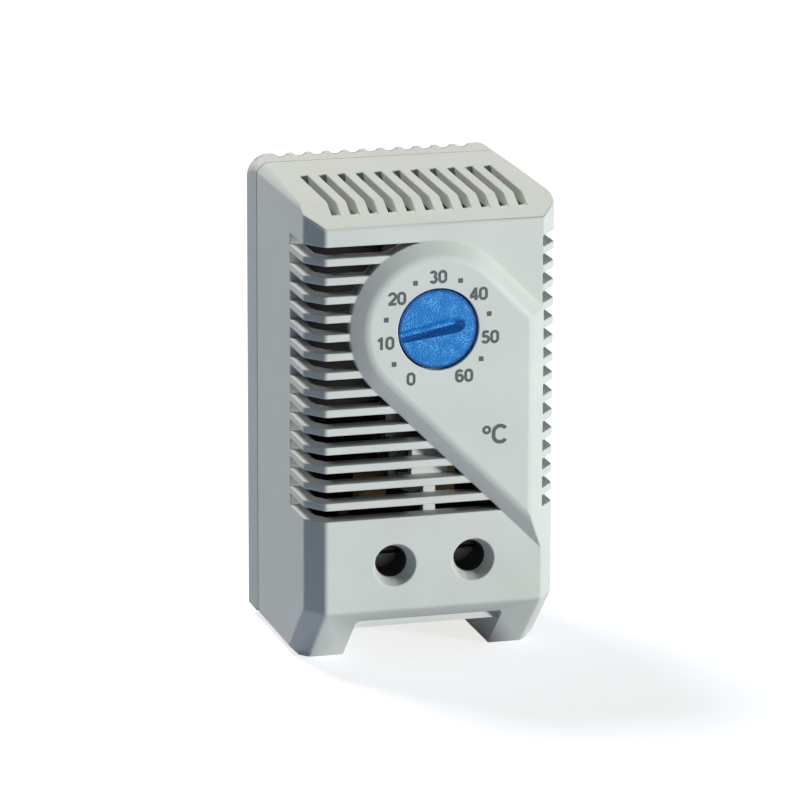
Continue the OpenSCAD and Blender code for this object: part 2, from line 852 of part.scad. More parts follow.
module setting_dial() {
    tail_z = -0.5 * dial_r;
    color(dial_blue)
        difference() {
            union() {
                rod_y(0, dial_z, dial_face, dial_t, dial_r);
                rod_y(0, dial_z, dial_back - lap, hub_end - dial_back + lap, hub_r);
            }
            hex_y(spindle_front - hex_room, hub_end - spindle_front + hex_room + lap, hex_r + slide_gap / 2);
            difference() {
                rod_y(0, dial_z, clip_y - run_gap, clip_t + 2 * run_gap, hub_r + lap);
                rod_y(0, dial_z, clip_y - lap, clip_t + 2 * lap, groove_r);
            }
            translate([0, dial_face, dial_z])
                rotate([0, dial_angle, 0]) {
                    pointer_groove(tail_z);
                    rod_y(0, tail_z, 0, pointer_d, pointer_w / 2, pointer_floor_w / 2);
                }
        }
}

// Screwdriver groove that points at the setting; it gets shallower and narrower towards the rim.
module pointer_groove(tail_z) {
    hull()
        for (end = [[tail_z, pointer_w, pointer_d], [dial_r + lap, pointer_tip_w, pointer_d / 2]])
            along_z(end[0], hair)
                polygon([
                    [-end[1] / 2, 0], [end[1] / 2, 0],
                    [pointer_floor_w / 2, end[2]], [-pointer_floor_w / 2, end[2]]
                ]);
}

// Open spring clip that holds the dial from behind.
module dial_clip() {
    color(steel)
        difference() {
            rod_y(0, dial_z, clip_y, clip_t, clip_r);
            rod_y(0, dial_z, clip_y - lap, clip_t + 2 * lap, groove_r + run_gap);
            translate([-groove_r * 0.8, clip_y - lap, dial_z - far])
                cube([groove_r * 1.6, clip_t + 2 * lap, far]);
        }
}

module adjusting_screw() {
    color(steel)
        difference() {
            union() {
                hex_y(spindle_front, spindle_shoulder - spindle_front, hex_r);
                rod_y(0, dial_z, spindle_shoulder, spindle_end - spindle_shoulder, spindle_r);
            }
            rod_y(0, dial_z, spindle_end - tip_peg_d, tip_peg_d + lap, tip_peg_r + run_gap);
        }
}

module screw_tip() {
    color(ceramic)
        union() {
            rod_y(0, dial_z, spindle_end - tip_peg_d + run_gap, tip_peg_d + lap, tip_peg_r);
            rod_y(0, dial_z, spindle_end, tip_end - spindle_end - tip_r / 2, tip_r);
            rod_y(0, dial_z, tip_end - tip_r / 2, tip_r / 2, tip_r, tip_r / 2);
        }
}

// Bent steel bracket that carries the bush of the adjusting screw.
module frame_bracket() {
    half = bush_r + bracket_side;
    flange_z = stack_z + stack_r + bracket_neck;
    top = dial_z + bush_r + bracket_brow;
    color(steel)
        difference() {
            union() {
                rod_y(0, stack_z, stack_y, bracket_t, ring_r);
                translate([-stack_r, stack_y, stack_z])
                    cube([2 * stack_r, bracket_t, flange_z - stack_z + lap]);
                translate([-half, stack_y, flange_z])
                    cube([2 * half, bracket_t, top - flange_z]);
                both_sides()
                    translate([half - bracket_t, stack_y - bracket_fold, flange_z])
                        cube([bracket_t, bracket_fold + lap, top - flange_z]);
            }
            rod_y(0, stack_z, stack_y - lap, bracket_t + 2 * lap, bolt_r + run_gap);
            rod_y(0, dial_z, stack_y - lap, bracket_t + 2 * lap, bush_r + run_gap);
        }
}

module threaded_bush() {
    color(brass)
        difference() {
            union() {
                rod_y(0, dial_z, stack_y - bush_nose, bracket_t + bush_nose + lap, bush_r);
                rod_y(0, dial_z, front_gap_y, bush_flange_t, bush_r + bush_rim);
            }
            rod_y(0, dial_z, 0, far, spindle_r + run_gap);
        }
}

module stack_screw() {
    color(steel)
        difference() {
            union() {
                rod_y(0, stack_z, stack_y - bolt_head_h, bolt_head_h, bolt_head_r);
                rod_y(0, stack_z, stack_y - lap, track_floor - bolt_stop - stack_y + lap, bolt_r);
            }
            translate([-bolt_head_r - lap, stack_y - bolt_head_h - lap, stack_z - drive_w / 2])
                cube([2 * (bolt_head_r + lap), lap + drive_d, drive_w]);
        }
}

// Tube that keeps the live pieces of the stack off the screw.
module stack_sleeve() {
    color(ceramic)
        difference() {
            rod_y(0, stack_z, front_gap_y, post_y - front_gap_y, sleeve_r);
            rod_y(0, stack_z, front_gap_y - lap, post_y - front_gap_y + 2 * lap, bolt_r + run_gap);
        }
}

// One insulating ring of the stack.
module insulator(y, thickness) {
    color(ceramic)
        difference() {
            rod_y(0, stack_z, y, thickness, ring_r);
            rod_y(0, stack_z, y - lap, thickness + 2 * lap, sleeve_r + run_gap);
        }
}

module front_insulator() {
    insulator(front_gap_y, front_gap_t);
}

module middle_insulator() {
    insulator(middle_gap_y, middle_gap_t);
}

module rear_insulator() {
    insulator(rear_gap_y, rear_gap_t);
}

// Flat outline of a bar: a ring in the stack and an arm out to its terminal, down to the height given.
module bar_outline(side, foot) {
    x = side * terminal_pitch / 2;
    difference() {
        union() {
            translate([0, stack_z])
                circle(stack_r);
            translate([side > 0 ? 0 : x - bar_w / 2, stack_z - stack_r])
                square([terminal_pitch / 2 + bar_w / 2, bar_arm_h]);
            translate([x - bar_w / 2, foot])
                square([bar_w, stack_z - stack_r + bar_arm_h - foot]);
        }
        translate([0, stack_z])
            circle(sleeve_r + 3 * run_gap);
    }
}

// Lower end of a bar, which stands in the grooves of its chamber.
module bar_foot(side) {
    translate([side * terminal_pitch / 2 - bar_foot_half, leaf_bar_y, bar_foot_z])
        cube([2 * bar_foot_half, bar_t, bar_foot_top - bar_foot_z]);
}

// Bar from the bimetal strip to the left terminal, with a step back to the terminals' plane.
module bimetal_bar() {
    left = -terminal_pitch / 2 - bar_w / 2;
    color(brass)
        union() {
            along_y(bimetal_bar_y, bar_t)
                bar_outline(-1, shelf_z);
            translate([left, bimetal_bar_y, shelf_z])
                cube([bar_w, leaf_bar_y + bar_t - bimetal_bar_y, bar_t]);
            translate([left, leaf_bar_y, bar_foot_z])
                cube([bar_w, bar_t, shelf_z + bar_t - bar_foot_z]);
            bar_foot(-1);
        }
}

// Bar from the contact leaf to the right terminal.
module leaf_bar() {
    color(brass)
        union() {
            along_y(leaf_bar_y, bar_t)
                bar_outline(1, bar_foot_z);
            bar_foot(1);
        }
}

// Flat strip from the stack up past the dial, with holes for the sleeve and the contact's rivet.
module strip(y, thickness, width, spindle_hole) {
    difference() {
        along_y(y, thickness)
            union() {
                translate([0, stack_z])
                    circle(stack_r);
                round_top(width / 2, stack_z, dial_z + leaf_reach, width / 4);
            }
        rod_y(0, stack_z, y - lap, thickness + 2 * lap, sleeve_r + 3 * run_gap);
        rod_y(0, contact_z, y - lap, thickness + 2 * lap, rivet_r + run_gap);
        if (spindle_hole > 0)
            rod_y(0, dial_z, y - lap, thickness + 2 * lap, spindle_hole);
    }
}

module bimetal_strip() {
    color(bronze)
        strip(bimetal_y, bimetal_t, bimetal_w, tip_r + tip_room);
}

module contact_leaf() {
    color(brass)
        strip(leaf_y, leaf_t, leaf_w, 0);
}

// Contact riveted through a strip: face_y is the strip's face on the contact's side.
module contact(face_y, dir, height, thickness) {
    color(silver)
        translate([0, face_y, contact_z])
            rotate([dir > 0 ? -90 : 90, 0, 0])
                union() {
                    cylinder(h = height - contact_edge_h, r = contact_r);
                    translate([0, 0, height - contact_edge_h])
                        cylinder(h = contact_edge_h, r1 = contact_r, r2 = contact_r - contact_edge);
                    translate([0, 0, -thickness - lap / 5])
                        cylinder(h = thickness + lap / 2, r = rivet_r);
                    translate([0, 0, -thickness - rivet_head_h])
                        cylinder(h = rivet_head_h, r = rivet_head_r);
                }
}

module bimetal_contact() {
    contact(bimetal_y + bimetal_t, 1, contact_room / 2, bimetal_t);
}

module leaf_contact() {
    contact(leaf_y, -1, contact_room / 2, leaf_t);
}

// Terminal screw that turns in place; the cage climbs on its thread.
module terminal_screw(side) {
    x = side * terminal_pitch / 2;
    color(steel)
        difference() {
            union() {
                rod_y(x, terminal_z, head_y, head_h, head_r);
                rod_y(x, terminal_z, shank_y - lap, leaf_bar_y - run_gap - shank_y + lap, screw_r);
            }
            translate([x - head_r - lap, head_y - lap, terminal_z - drive_w / 2])
                cube([2 * (head_r + lap), lap + drive_d, drive_w]);
        }
}

module left_terminal_screw() {
    terminal_screw(-1);
}

module right_terminal_screw() {
    terminal_screw(1);
}

// Folded cage around the bar: tightening the screw draws it forward against the wire.
module clamp_cage(side) {
    x = side * terminal_pitch / 2;
    color(steel)
        difference() {
            translate([x - cage_w / 2, cage_y, cage_z])
                cube([cage_w, cage_back_y - cage_y, cage_h]);
            translate([x - cage_in_w / 2, cage_y + cage_front_t, cage_z - lap])
                cube([cage_in_w, cage_back_y - cage_t - cage_y - cage_front_t, cage_h + 2 * lap]);
            rod_y(x, terminal_z, cage_y - lap, cage_front_t + 2 * lap, screw_r + run_gap);
        }
}

module left_clamp_cage() {
    clamp_cage(-1);
}

module right_clamp_cage() {
    clamp_cage(1);
}

// Sliding latch with its nose under the rail's lower edge.
module rail_latch() {
    body_half = latch_body_w / 2;
    floor_y = track_floor + slide_gap;
    body_y = ped_face - slide_gap;
    nose_y = hook_end - hook_edge;
    runner_z = ped_foot + runner_inset;
    color(housing_grey)
        difference() {
            union() {
                translate([-latch_w / 2, floor_y, runner_z])
                    cube([latch_w, runner_t, latch_top - runner_z]);
                translate([-body_half, floor_y, latch_foot])
                    cube([latch_body_w, body_y - floor_y, latch_top - latch_foot]);
                along_x(-body_half, latch_body_w)
                    polygon([
                        [body_y - lap, latch_foot], [seat_y + nose_d, latch_foot],
                        [nose_y, latch_foot + latch_slope], [nose_y, latch_z + lip_edge],
                        [grip_y + hook_grip - lip_edge, latch_z + hook_grip], [grip_y, latch_z + hook_grip],
                        [grip_y, latch_z], [body_y - lap, latch_z]
                    ]);
            }
            difference() {
                translate([-window_half, floor_y - lap, window_z])
                    cube([2 * window_half, track_depth + lap, window_top - window_z]);
                spring_peg(window_top - peg_h, peg_h + lap);
            }
            translate([-pull_w / 2, floor_y - lap, latch_foot + pull_h])
                cube([pull_w, far, pull_h]);
        }
}

// Compression spring as a swept wire.
module latch_spring() {
    sides = 8;
    per_turn = 14;
    rings = spring_turns * per_turn;
    mean_r = spring_r - spring_wire_r;
    rise = spring_h - 2 * spring_wire_r - 2 * run_gap;
    points = [
        for (i = [0 : rings], j = [0 : sides - 1])
            let (
                turn = 360 * i / per_turn,
                around = 360 * j / sides,
                reach = mean_r + spring_wire_r * cos(around)
            )
            [reach * cos(turn), reach * sin(turn), rise * i / rings + spring_wire_r * sin(around)]
    ];
    skin = [
        for (i = [0 : rings - 1], j = [0 : sides - 1])
            let (a = i * sides, b = a + sides, k = (j + 1) % sides)
            [a + j, b + j, b + k, a + k]
    ];
    start = [for (j = [0 : sides - 1]) j];
    finish = [for (j = [sides - 1 : -1 : 0]) rings * sides + j];
    color(steel)
        translate([0, spring_y, spring_z + spring_wire_r + run_gap])
            polyhedron(points, concat(skin, [start, finish]), convexity = 6);
}

// Moves a piece from front-face coordinates to the part's origin.
module placed() {
    translate([0, -mid_y, 0])
        children();
}

placed() front_housing();
placed() rear_base();
placed() setting_dial();
placed() dial_clip();
placed() adjusting_screw();
placed() screw_tip();
placed() frame_bracket();
placed() threaded_bush();
placed() stack_screw();
placed() stack_sleeve();
placed() front_insulator();
placed() middle_insulator();
placed() rear_insulator();
placed() bimetal_bar();
placed() leaf_bar();
placed() bimetal_strip();
placed() bimetal_contact();
placed() contact_leaf();
placed() leaf_contact();
placed() left_terminal_screw();
placed() right_terminal_screw();
placed() left_clamp_cage();
placed() right_clamp_cage();
placed() rail_latch();
placed() latch_spring();
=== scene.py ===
"""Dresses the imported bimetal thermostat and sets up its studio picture.

The CAD nodes come in as a fixed frame, in metres. The moulded pieces are merged copies of their nodes
with softened edges, the scale is printed on the dial plate, and every node gets a procedural finish.
"""

from __future__ import annotations

import json
import logging
import math
from dataclasses import dataclass
from enum import Enum
from typing import Any, Callable, Optional, Union

import bmesh
import bpy
from mathutils import Matrix, Vector
from mathutils.bvhtree import BVHTree

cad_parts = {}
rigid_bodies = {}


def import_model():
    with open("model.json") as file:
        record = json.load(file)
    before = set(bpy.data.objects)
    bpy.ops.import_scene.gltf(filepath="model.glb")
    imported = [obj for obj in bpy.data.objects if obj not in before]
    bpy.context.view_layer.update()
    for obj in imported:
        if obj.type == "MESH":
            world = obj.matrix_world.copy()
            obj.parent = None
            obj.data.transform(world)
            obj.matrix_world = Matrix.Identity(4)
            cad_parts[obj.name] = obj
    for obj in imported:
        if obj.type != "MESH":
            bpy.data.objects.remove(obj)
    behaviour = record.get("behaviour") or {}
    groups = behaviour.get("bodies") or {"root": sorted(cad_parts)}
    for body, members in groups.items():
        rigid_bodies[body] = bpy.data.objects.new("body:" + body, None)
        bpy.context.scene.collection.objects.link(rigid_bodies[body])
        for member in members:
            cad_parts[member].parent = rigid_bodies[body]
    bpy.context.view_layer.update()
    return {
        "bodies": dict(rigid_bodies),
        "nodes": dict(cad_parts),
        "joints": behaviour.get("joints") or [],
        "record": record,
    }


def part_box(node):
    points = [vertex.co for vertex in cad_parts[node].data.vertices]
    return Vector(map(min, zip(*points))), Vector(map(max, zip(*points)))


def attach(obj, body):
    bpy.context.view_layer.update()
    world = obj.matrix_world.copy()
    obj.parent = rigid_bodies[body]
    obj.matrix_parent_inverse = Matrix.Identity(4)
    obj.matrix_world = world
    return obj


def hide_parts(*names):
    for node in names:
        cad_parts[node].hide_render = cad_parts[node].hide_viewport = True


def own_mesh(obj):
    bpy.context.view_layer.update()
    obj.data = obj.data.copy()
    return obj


LOG = logging.getLogger("thermostat")
MM = 0.001
# Edge radius of the dial and the terminal screws
FINE_RADIUS = 0.12 * MM

Colour = tuple[float, float, float]
Value = Union[float, "Field"]
EdgeChoice = Callable[[bmesh.types.BMesh], list[bmesh.types.BMEdge]]

# Places of the sockets of a Mix node that mixes colours
MIX_FACTOR, MIX_A, MIX_B, MIX_RESULT = 0, 6, 7, 2


class Body(Enum):
    """The bodies of the frame that new pieces ride on."""

    CASE = "case"
    DIAL = "dial"
    LATCH = "latch"
    LEFT_SCREW = "left_screw"
    RIGHT_SCREW = "right_screw"


class Slot(Enum):
    """Names of the record's material slots, held by the builders of the new pieces."""

    HOUSING = "housing"
    BASE = "base"
    DIAL = "dial"
    STEEL = "steel"


def rgba(colour: Colour) -> tuple[float, float, float, float]:
    """Gives a colour its alpha."""
    return (*colour, 1.0)


def shade(colour: Colour, factor: float) -> tuple[float, float, float, float]:
    """Gives a lighter or darker copy of a colour, with its alpha."""
    return rgba(tuple(min(1.0, channel * factor) for channel in colour))


class Field:
    """A shader socket that takes part in Python expressions."""

    def __init__(self, recipe: Recipe, socket: bpy.types.NodeSocket) -> None:
        """Wraps a socket of a recipe's node tree."""
        self.recipe = recipe
        self.socket = socket

    def _math(self, operation: str, first: Value, second: Value) -> Field:
        """Adds one Math node.

        Args:
            operation: The Math node's operation.
            first: Its first value.
            second: Its second value.

        Returns:
            The result.
        """
        return self.recipe.node("ShaderNodeMath", {"operation": operation}, {0: first, 1: second})

    def __add__(self, other: Value) -> Field:
        """Adds."""
        return self._math("ADD", self, other)

    __radd__ = __add__

    def __sub__(self, other: Value) -> Field:
        """Subtracts."""
        return self._math("SUBTRACT", self, other)

    def __rsub__(self, other: Value) -> Field:
        """Subtracts from a number."""
        return self._math("SUBTRACT", other, self)

    def __mul__(self, other: Value) -> Field:
        """Multiplies."""
        return self._math("MULTIPLY", self, other)

    __rmul__ = __mul__

    def __pow__(self, other: Value) -> Field:
        """Raises to a power."""
        return self._math("POWER", self, other)

    def step(self, low: float, high: float) -> Field:
        """Rises smoothly from 0 at low to 1 at high.

        Args:
            low: Value at which the rise starts.
            high: Value at which it ends.

        Returns:
            The smooth step.
        """
        limits = {"Value": self, "From Min": low, "From Max": high}
        return self.recipe.node("ShaderNodeMapRange", {"interpolation_type": "SMOOTHSTEP"}, limits)


class Recipe:
    """A node tree in the making, for a material or for the world."""

    def __init__(self, tree: bpy.types.NodeTree) -> None:
        """Empties the tree."""
        self.tree = tree
        self.tree.nodes.clear()

    def node(
        self,
        kind: str,
        settings: Optional[dict[str, Any]] = None,
        sockets: Optional[dict[Union[str, int], Any]] = None,
        output: Union[str, int] = 0,
    ) -> Field:
        """Makes one node.

        Args:
            kind: The node's type.
            settings: Its properties, set before its sockets.
            sockets: Values or links of its inputs, by name or place.
            output: The output to hand back, by name or place.

        Returns:
            That output.
        """
        made = self.tree.nodes.new(kind)
        for key, value in (settings or {}).items():
            setattr(made, key, value)
        for key, value in (sockets or {}).items():
            if isinstance(value, Field):
                self.tree.links.new(value.socket, made.inputs[key])
            else:
                made.inputs[key].default_value = value
        return Field(self, made.outputs[output] if made.outputs else made.inputs[0])

    def place(self) -> Field:
        """Gives the Object coordinates."""
        return self.node("ShaderNodeTexCoord", output="Object")

    def axis(self, place: Field, name: str) -> Field:
        """Gives one coordinate, X, Y or Z."""
        return self.node("ShaderNodeSeparateXYZ", sockets={0: place}, output=name)

    def from_axle(self, place: Field, x: float, z: float) -> Field:
        """Gives the distance from a line along Y.

        Args:
            place: The coordinates.
            x: Where the line is, from left to right.
            z: Its height.

        Returns:
            The distance in metres.
        """
        across, up = self.axis(place, "X") - x, self.axis(place, "Z") - z
        return (across * across + up * up) ** 0.5

    def stretched(self, place: Field, scale: tuple[float, float, float]) -> Field:
        """Scales coordinates by axis."""
        return self.node("ShaderNodeVectorMath", {"operation": "MULTIPLY"}, {0: place, 1: scale})

    def noise(self, place: Field, size: float, detail: float = 2.0) -> Field:
        """Makes a noise.

        Args:
            place: The coordinates.
            size: Size of its spots in metres.
            detail: Octaves.

        Returns:
            Values from 0 to 1, around 0.5.
        """
        sockets = {"Vector": place, "Scale": 1 / size, "Detail": detail, "Roughness": 0.55}
        return self.node("ShaderNodeTexNoise", sockets=sockets)

    def cells(self, place: Field, size: float) -> Field:
        """Gives the distance to the nearest of scattered points, in cell sizes.

        Args:
            place: The coordinates.
            size: Mean distance of the points in metres.

        Returns:
            The distance.
        """
        sockets = {"Vector": place, "Scale": 1 / size}
        return self.node("ShaderNodeTexVoronoi", sockets=sockets, output="Distance")

    def mix(self, factor: Value, first: Any, second: Any) -> Field:
        """Mixes two colours.

        Args:
            factor: Share of the second.
            first: Colour or link at 0.
            second: Colour or link at 1.

        Returns:
            The mixed colour.
        """
        sockets = {MIX_FACTOR: factor, MIX_A: first, MIX_B: second}
        return self.node("ShaderNodeMix", {"data_type": "RGBA"}, sockets, MIX_RESULT)

    def bump(self, height: Field, depth: float) -> Field:
        """Turns a height into a normal.

        Args:
            height: Height from 0 to 1.
            depth: What 1 is, in metres.

        Returns:
            The normal.
        """
        sockets = {"Strength": 1.0, "Distance": depth, "Height": height}
        return self.node("ShaderNodeBump", sockets=sockets)

    def surface(self, sockets: dict[str, Any]) -> None:
        """Ends a material in a Principled shader with these sockets."""
        shader = self.node("ShaderNodeBsdfPrincipled", sockets=sockets)
        self.node("ShaderNodeOutputMaterial", sockets={"Surface": shader})


def material_recipe(name: str) -> tuple[bpy.types.Material, Recipe]:
    """Starts a material.

    Args:
        name: The material's name.

    Returns:
        The material and its empty recipe.
    """
    material = bpy.data.materials.new(name)
    material.use_nodes = True
    return material, Recipe(material.node_tree)


@dataclass(frozen=True)
class Room:
    """A box in which painted shade leaves only a share of the colour."""

    low: tuple[float, float, float]
    high: tuple[float, float, float]
    share: float = 0.03
    soft: float = 0.6 * MM

    def mask(self, recipe: Recipe, place: Field) -> Field:
        """Gives 1 inside the box and 0 outside.

        Args:
            recipe: The material's recipe.
            place: The coordinates.

        Returns:
            The mask.
        """
        sides = []
        for name, low, high in zip("XYZ", self.low, self.high):
            value = recipe.axis(place, name)
            sides.append(value.step(low - self.soft, low) * (1 - value.step(high, high + self.soft)))
        return sides[0] * sides[1] * sides[2]


@dataclass(frozen=True)
class Bore:
    """A round hole along Y in which painted shade leaves only a share of the colour."""

    x: float
    z: float
    radius: float
    mouth_y: float
    end_y: float
    share: float = 0.03
    soft: float = 0.25 * MM

    def mask(self, recipe: Recipe, place: Field) -> Field:
        """Gives 1 inside the hole and 0 outside.

        Args:
            recipe: The material's recipe.
            place: The coordinates.

        Returns:
            The mask.
        """
        inside = 1 - recipe.from_axle(place, self.x, self.z).step(self.radius, self.radius + self.soft)
        depth = recipe.axis(place, "Y")
        behind = depth.step(self.mouth_y, self.mouth_y + self.soft)
        before = 1 - depth.step(self.end_y, self.end_y + self.soft)
        return inside * behind * before


ShadeSpace = Union[Room, Bore]


@dataclass(frozen=True)
class MouldedPlastic:
    """Matt plastic from a spark-eroded mould, darkened by painted shade inside the part."""

    name: str
    colour: Colour
    dusty: tuple[ShadeSpace, ...] = ()
    roughness: float = 0.55
    gloss: float = 0.3
    grain: float = 0.16 * MM
    grain_depth: float = 0.012 * MM
    grain_roughness: float = 0.2
    cloud: float = 9 * MM
    cloud_depth: float = 0.025
    cloud_range: tuple[float, float] = (0.3, 0.7)

    def material(self) -> bpy.types.Material:
        """Makes a faintly clouded colour over a fine even grain."""
        material, recipe = material_recipe(self.name)
        place = recipe.place()
        grain = recipe.noise(place, self.grain)
        cloud = recipe.noise(place, self.cloud, 4.0)
        darker, lighter = (shade(self.colour, 1 + side * self.cloud_depth) for side in (-1, 1))
        colour = recipe.mix(cloud.step(*self.cloud_range), darker, lighter)
        # Painted shade: inside each space the colour falls to a share of itself, as dark as the shadow there.
        for space in self.dusty:
            colour = recipe.mix(space.mask(recipe, place), colour, shade(self.colour, space.share))
        recipe.surface({
            "Base Color": colour,
            "Roughness": self.roughness + (grain - 0.5) * self.grain_roughness,
            "Specular IOR Level": self.gloss,
            "Normal": recipe.bump(grain, self.grain_depth),
        })
        return material


@dataclass(frozen=True)
class SpeckledPlastic:
    """Glossier plastic with a coarse stipple, and with painted shade on its rim and where its groove faces
    up.
    """

    name: str
    colour: Colour
    bright: Colour
    grime: Colour
    axle: tuple[float, float]
    radius: float
    rim: tuple[float, float] = (0.45 * MM, 0.2 * MM)
    roughness: float = 0.36
    gloss: float = 0.3
    stipple: float = 0.22 * MM
    stipple_depth: float = 0.05 * MM
    dot_range: tuple[float, float] = (0.15, 0.65)
    patch: float = 1.32 * MM
    patch_range: tuple[float, float] = (0.35, 0.7)
    patch_roughness: float = 0.12
    upward_range: tuple[float, float] = (0.2, 0.5)

    def material(self) -> bpy.types.Material:
        """Makes a blue with bright specks where the stipple is worn."""
        material, recipe = material_recipe(self.name)
        place = recipe.place()
        dots = 1 - recipe.cells(place, self.stipple).step(*self.dot_range)
        patches = recipe.noise(place, self.patch, 3.0).step(*self.patch_range)
        specked = recipe.mix(dots * patches, rgba(self.colour), rgba(self.bright))
        # Painted shade: a deeper blue on the upward-facing lower flank of the groove and in a band round the
        # dial's rim.
        facing = recipe.node("ShaderNodeTexCoord", output="Normal")
        upward_shade = recipe.axis(facing, "Z").step(*self.upward_range)
        rim = recipe.from_axle(place, *self.axle).step(*(self.radius - width for width in self.rim))
        recipe.surface({
            "Base Color": recipe.mix(1 - (1 - upward_shade) * (1 - rim), specked, rgba(self.grime)),
            "Roughness": self.roughness + patches * self.patch_roughness,
            "Specular IOR Level": self.gloss,
            "Normal": recipe.bump(dots, self.stipple_depth),
        })
        return material


@dataclass(frozen=True)
class PrintInk:
    """Pad-printed ink."""

    name: str
    colour: Colour
    roughness: float = 0.55
    thin: float = 0.3 * MM
    thin_range: tuple[float, float] = (0.45, 0.8)
    thin_shade: float = 1.6
    thin_roughness: float = 0.15

    def material(self) -> bpy.types.Material:
        """Makes an ink that is a little thinner in places."""
        material, recipe = material_recipe(self.name)
        thin = recipe.noise(recipe.place(), self.thin, 3.0).step(*self.thin_range)
        recipe.surface({
            "Base Color": recipe.mix(thin, rgba(self.colour), shade(self.colour, self.thin_shade)),
            "Roughness": self.roughness + thin * self.thin_roughness,
        })
        return material


@dataclass(frozen=True)
class SheetMetal:
    """Rolled, turned or plated metal."""

    name: str
    colour: Colour
    tarnish: Colour
    roughness: float = 0.3
    brush: tuple[float, float, float] = (1.0, 1.0, 0.08)
    line: float = 0.09 * MM
    line_depth: float = 0.004 * MM
    line_roughness: float = 0.25
    patch: float = 2.5 * MM
    patch_range: tuple[float, float] = (0.45, 0.75)
    patch_roughness: float = 0.1

    def material(self) -> bpy.types.Material:
        """Makes metal with fine lines along the rolling direction and a patchy tarnish."""
        material, recipe = material_recipe(self.name)
        place = recipe.place()
        lines = recipe.noise(recipe.stretched(place, self.brush), self.line, 3.0)
        patches = recipe.noise(place, self.patch, 4.0).step(*self.patch_range)
        roughness = self.roughness + (lines - 0.5) * self.line_roughness
        recipe.surface({
            "Base Color": recipe.mix(patches, rgba(self.colour), rgba(self.tarnish)),
            "Metallic": 1.0,
            "Roughness": roughness + patches * self.patch_roughness,
            "Normal": recipe.bump(lines, self.line_depth),
        })
        return material


@dataclass(frozen=True)
class TwoMetalStrip:
    """Two metals rolled on each other: they meet at one depth."""

    name: str
    front: Colour
    back: Colour
    meet_y: float
    meet_soft: float = 0.01 * MM
    roughness: float = 0.32
    brush: tuple[float, float, float] = (1.0, 1.0, 0.06)
    line: float = 0.09 * MM
    line_depth: float = 0.004 * MM
    line_roughness: float = 0.25

    def material(self) -> bpy.types.Material:
        """Makes the front and the back of the strip in their own metal."""
        material, recipe = material_recipe(self.name)
        place = recipe.place()
        lines = recipe.noise(recipe.stretched(place, self.brush), self.line, 3.0)
        behind = recipe.axis(place, "Y").step(self.meet_y - self.meet_soft, self.meet_y + self.meet_soft)
        recipe.surface({
            "Base Color": recipe.mix(behind, rgba(self.front), rgba(self.back)),
            "Metallic": 1.0,
            "Roughness": self.roughness + (lines - 0.5) * self.line_roughness,
            "Normal": recipe.bump(lines, self.line_depth),
        })
        return material


@dataclass(frozen=True)
class HardPaper:
    """Pressed resin board of the insulators."""

    name: str
    colour: Colour
    roughness: float = 0.5
    fibre: float = 0.15 * MM
    fibre_stretch: tuple[float, float, float] = (0.25, 1.0, 1.0)
    fibre_range: tuple[float, float] = (0.45, 0.75)
    fibre_shade: float = 1.8
    fibre_depth: float = 0.01 * MM
    fibre_roughness: float = 0.3

    def material(self) -> bpy.types.Material:
        """Makes a brown with short lighter fibres."""
        material, recipe = material_recipe(self.name)
        fibres = recipe.noise(recipe.stretched(recipe.place(), self.fibre_stretch), self.fibre, 4.0)
        lighter = shade(self.colour, self.fibre_shade)
        recipe.surface({
            "Base Color": recipe.mix(fibres.step(*self.fibre_range), rgba(self.colour), lighter),
            "Roughness": self.roughness + (fibres - 0.5) * self.fibre_roughness,
            "Normal": recipe.bump(fibres, self.fibre_depth),
        })
        return material


def new_piece(name: str, bm: bmesh.types.BMesh, finish: bpy.types.Material) -> bpy.types.Object:
    """Makes an object of a finished bmesh and frees the bmesh.

    Args:
        name: The piece's name.
        bm: Its shape, in the row frame.
        finish: Its material.

    Returns:
        The object, at the origin.
    """
    mesh = bpy.data.meshes.new(name)
    bm.to_mesh(mesh)
    bm.free()
    mesh.materials.append(finish)
    piece = bpy.data.objects.new(name, mesh)
    bpy.context.scene.collection.objects.link(piece)
    return piece


def report(piece: bpy.types.Object) -> bpy.types.Object:
    """Logs a piece and hands it back."""
    LOG.info("%s: %d faces", piece.name, len(piece.data.polygons))
    return piece


